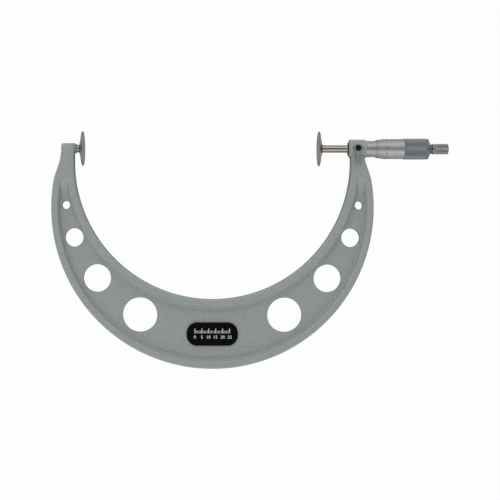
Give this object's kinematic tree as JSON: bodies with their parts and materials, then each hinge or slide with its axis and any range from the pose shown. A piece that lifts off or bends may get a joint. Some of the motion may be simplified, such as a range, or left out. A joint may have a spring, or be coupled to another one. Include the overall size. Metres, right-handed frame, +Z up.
{
  "type": "outside micrometer",
  "caption": "Outside micrometer with disc faces for wide work: crescent frame with lightening holes, screw spindle, sleeve, thimble, ratchet stop and lever clamp.",
  "frame": {"origin": "centre of the anvil disc's measuring face", "axes": "+X along the measuring axis from the anvil to the spindle; +Z up, with the tool lying on its back on both disc rims and the heel of the frame; +Y from the heel to the measuring axis"},
  "size_m": [0.3443, 0.2058, 0.03],
  "materials": {
    "frame_paint": "grey hammer-finish enamel on a casting",
    "plate_black": "black lacquered plate",
    "disc_steel": "ground and lapped steel",
    "spindle_steel": "ground steel",
    "nut_steel": "turned steel",
    "shoe_brass": "turned brass",
    "satin_chrome": "satin chrome plate",
    "grip_grey": "fine knurl, dark satin plate",
    "knob_steel": "straight knurl, satin plate",
    "lever_satin": "satin plate",
    "black_oxide": "black oxide on steel"
  },
  "bodies": {
    "frame": {"frame": "frame_paint", "name_plate": "plate_black", "anvil_shank": "spindle_steel", "anvil_disc": "disc_steel", "nose_bush": "black_oxide", "inner_sleeve": "nut_steel", "adjusting_nut": "nut_steel", "clamp_shoe": "shoe_brass"},
    "sleeve": {"outer_sleeve": "satin_chrome"},
    "spindle_face": {"spindle_disc": "disc_steel"},
    "measuring_screw": {"spindle": "spindle_steel", "thimble": "satin_chrome", "thimble_grip": "grip_grey", "ratchet_stud": "knob_steel", "ratchet_end_screw": "black_oxide"},
    "ratchet": {"ratchet_knob": "knob_steel", "ratchet_wheel": "nut_steel", "ratchet_spring": "nut_steel"},
    "clamp": {"clamp_lever": "lever_satin", "clamp_stud": "black_oxide", "clamp_screw": "black_oxide"}
  },
  "joints": [
    {"name": "spindle_slide", "type": "slide", "parent": "frame", "child": "spindle_face", "axis": [1, 0, 0], "range_m": [-0.004, 0.021]},
    {"name": "thimble_turn", "type": "hinge", "parent": "spindle_face", "child": "measuring_screw", "pos_m": [0.265, 0, 0], "axis": [1, 0, 0], "range_deg": [-2880, 15120]},
    {"name": "ratchet_slip", "type": "hinge", "parent": "measuring_screw", "child": "ratchet", "pos_m": [0.31, 0, 0], "axis": [1, 0, 0], "continuous": true},
    {"name": "clamp_turn", "type": "hinge", "parent": "frame", "child": "clamp", "pos_m": [0.2374, 0, 0], "axis": [0, -0.0424, 0.9991], "range_deg": [0, 60]},
    {"name": "sleeve_set", "type": "hinge", "parent": "frame", "child": "sleeve", "pos_m": [0.25, 0, 0], "axis": [1, 0, 0], "range_deg": [-15, 15]}
  ],
  "couplings": [
    {"joint": "thimble_turn", "follows": "spindle_slide", "rad_per_m": 12566}
  ]
}
